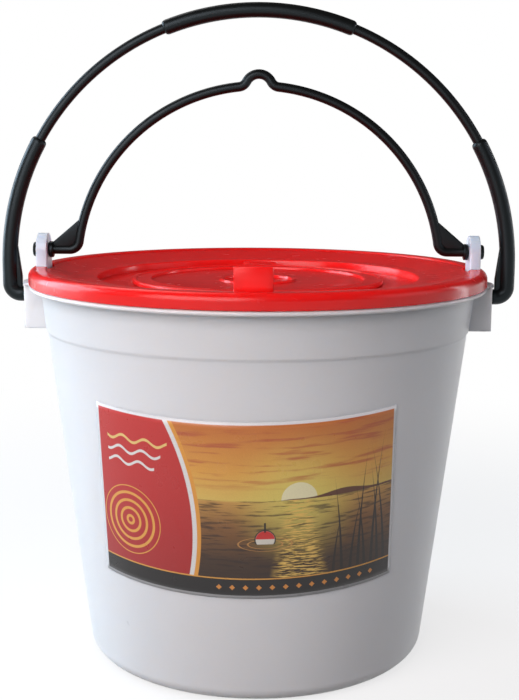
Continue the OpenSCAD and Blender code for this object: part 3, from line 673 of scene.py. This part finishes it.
# ink grain, and the film's own slight waves and scuffs
grain = add(nt, "ShaderNodeTexNoise", Scale=2600.0, Detail=1.0)
coord = add(nt, "ShaderNodeTexCoord")
nt.links.new(coord.outputs["Object"], grain.inputs["Vector"])
worn = add(nt, "ShaderNodeHueSaturation", Saturation=0.96)
nt.links.new(maths("ADD", 0.73, times(grain.outputs["Fac"], 0.2)), worn.inputs["Value"])
nt.links.new(ink, worn.inputs["Color"])
skin = add(nt, "ShaderNodeGroup", node_tree=bpy.data.node_groups["moulded_skin"])
for socket, v in (("Roughness", 0.22), ("Waves", 0.5), ("Scuffs", 0.14)):
    skin.inputs[socket].default_value = v
bsdf = add(nt, "ShaderNodeBsdfPrincipled", IOR=1.5)
nt.links.new(coord.outputs["Object"], skin.inputs["Vector"])
nt.links.new(worn.outputs["Color"], bsdf.inputs["Base Color"])
nt.links.new(skin.outputs["Roughness"], bsdf.inputs["Roughness"])
nt.links.new(skin.outputs["Normal"], bsdf.inputs["Normal"])
nt.links.new(bsdf.outputs["BSDF"], out.inputs["Surface"])

# with the cone rolled out flat, the label is a rectangle whose lower edge is start mm from the cone's tip
start, askew, swing, off_wall = 881.2, math.radians(0.5), math.radians(2.9), 0.12
bm = bmesh.new()
uv_layer = bm.loops.layers.uv.new("label")
across, up, flat_sin = 120, 24, math.sin(math.radians(lean))
middle = start + label_h / 2
grid = []
for j in range(up + 1):
    grid.append([])
    for i in range(across + 1):
        u, v = label_w * (i / across - 0.5), label_h * (j / up - 0.5)
        u, v = u * math.cos(askew) - v * math.sin(askew), middle + u * math.sin(askew) + v * math.cos(askew)
        r = math.hypot(u, v) * flat_sin
        a = math.atan2(u, v) / flat_sin - swing
        out_r, z = r + off_wall, (r - base_r) / slope
        spot = (out_r * math.sin(a) / 1000, -out_r * math.cos(a) / 1000, z / 1000)
        grid[j].append(bm.verts.new(spot))
for j in range(up):
    for i in range(across):
        face = bm.faces.new((grid[j][i], grid[j][i + 1], grid[j + 1][i + 1], grid[j + 1][i]))
        for loop, (u, v) in zip(face.loops, ((i, j), (i + 1, j), (i + 1, j + 1), (i, j + 1))):
            loop[uv_layer].uv = (u / across, v / up)
label = finished(bm, "label_film", label_mat)
mod = label.modifiers.new("film", "SOLIDIFY")
mod.thickness, mod.offset = 0.00022, 1
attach(label, "outer_bucket")
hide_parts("label")


# ---- floor and studio ----
# A pale floor and surroundings. Seen directly, or in glossy and clear surfaces, they are white, as behind
# the real bucket; the floor still takes its shadow. The lamps stand where the photograph's window was.

def either(*masks):
    done = masks[0]
    for m in masks[1:]:
        done = maths("MAXIMUM", done, m)
    return done


white_mat, nt, out = new_material("floor")
bsdf = add(nt, "ShaderNodeBsdfPrincipled", Roughness=0.9)
ray = add(nt, "ShaderNodeLightPath")
glow = add(nt, "ShaderNodeEmission", Strength=1.0)
seen = either(ray.outputs["Is Camera Ray"], ray.outputs["Is Glossy Ray"],
              ray.outputs["Is Transmission Ray"])
lighting, shown = 0.07, 0.88
tone = add(nt, "ShaderNodeMix", data_type="RGBA")
tone.inputs[6].default_value = (lighting, lighting, lighting, 1)
tone.inputs[7].default_value = (shown, shown, shown, 1)
nt.links.new(seen, tone.inputs[0])
nt.links.new(tone.outputs[2], bsdf.inputs["Base Color"])
coord = add(nt, "ShaderNodeTexCoord")
far = add(nt, "ShaderNodeVectorMath", operation="LENGTH")
nt.links.new(coord.outputs["Object"], far.inputs[0])
fade = add(nt, "ShaderNodeMapRange", interpolation_type="SMOOTHSTEP")
fade_from, fade_to, least_glow = 0.25, 0.8, 0.72
for socket, v in (("From Min", fade_from), ("From Max", fade_to), ("To Min", least_glow), ("To Max", 1.0)):
    fade.inputs[socket].default_value = v
nt.links.new(far.outputs["Value"], fade.inputs["Value"])
mix = add(nt, "ShaderNodeMixShader")
nt.links.new(times(seen, fade.outputs["Result"]), mix.inputs[0])
nt.links.new(bsdf.outputs["BSDF"], mix.inputs[1])
nt.links.new(glow.outputs["Emission"], mix.inputs[2])
nt.links.new(mix.outputs["Shader"], out.inputs["Surface"])
bm = bmesh.new()
bmesh.ops.create_grid(bm, x_segments=1, y_segments=1, size=6)
floor = finished(bm, "floor", white_mat)
floor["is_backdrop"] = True

world = bpy.data.worlds.new("studio")
scene.world = world
world.use_nodes = True
nt = world.node_tree
nt.nodes.clear()
back = add(nt, "ShaderNodeOutputWorld")
room = add(nt, "ShaderNodeBackground")
room.inputs["Color"].default_value = (1.0, 0.95, 0.97, 1)
white = add(nt, "ShaderNodeBackground", Strength=1.0)
white.inputs["Color"].default_value = (1, 1, 1, 1)
ray = add(nt, "ShaderNodeLightPath")
room_light, less_in_gloss = 0.20, 0.13
nt.links.new(minus(room_light, times(ray.outputs["Is Glossy Ray"], less_in_gloss)), room.inputs["Strength"])
coord = add(nt, "ShaderNodeTexCoord")
split = add(nt, "ShaderNodeSeparateXYZ")
nt.links.new(coord.outputs["Generated"], split.inputs[0])
backdrop = times(ray.outputs["Is Glossy Ray"], under(split.outputs["Z"], 0.02, 0.05))
seen = either(ray.outputs["Is Camera Ray"], ray.outputs["Is Transmission Ray"], backdrop)
mix = add(nt, "ShaderNodeMixShader")
nt.links.new(seen, mix.inputs[0])
nt.links.new(room.outputs["Background"], mix.inputs[1])
nt.links.new(white.outputs["Background"], mix.inputs[2])
nt.links.new(mix.outputs["Shader"], back.inputs["Surface"])


def lamp(name, place, target, width, height, power, colour):
    light = bpy.data.lights.new(name, "AREA")
    light.shape, light.size, light.size_y = "RECTANGLE", width, height
    light.energy, light.color = power, colour
    o = bpy.data.objects.new(name, light)
    scene.collection.objects.link(o)
    o.location = place
    o.rotation_mode = "QUATERNION"
    o.rotation_quaternion = (Vector(target) - Vector(place)).to_track_quat("-Z", "Y")


lamp("window", (-1.42, 0.48, 0.68), (0, 0, 0.20), 1.2, 1.25, 31, (0.69, 0.85, 1.0))
lamp("room_left", (-0.40, -0.76, 0.58), (0, 0, 0.20), 0.75, 0.7, 8.1, (1.0, 0.93, 0.94))
lamp("room_right", (1.00, -0.25, 0.55), (0, 0, 0.20), 0.7, 0.6, 1.4, (0.92, 0.92, 1.0))
lamp("strip_right", (1.19, 0.53, 0.41), (0, 0, 0.20), 0.05, 0.8, 2.4, (0.93, 0.95, 1.0))
lamp("ceiling", (-0.50, 0.80, 1.25), (0, 0, 0.20), 0.7, 0.7, 2.8, (1.0, 0.97, 0.96))

# the camera fitted to the photograph, in degrees: tilt down, roll, and swing round the object
tilt, roll, swing = 9.58, 0.33, 0.9
view = bpy.data.cameras.new("camera")
view.lens, view.sensor_width, view.clip_start, view.clip_end = 64.05, 36, 0.01, 50
camera = bpy.data.objects.new("camera", view)
scene.collection.objects.link(camera)
scene.camera = camera
aim = Matrix.Rotation(math.radians(90 - tilt), 4, "X") @ Matrix.Rotation(math.radians(roll), 4, "Z")
stand = Matrix.Rotation(math.radians(swing), 4, "Z") @ Matrix.Translation((0.0012, -0.7275, 0.2992))
camera.matrix_world = stand @ aim
scene.view_settings.view_transform = "Standard"

low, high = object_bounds()
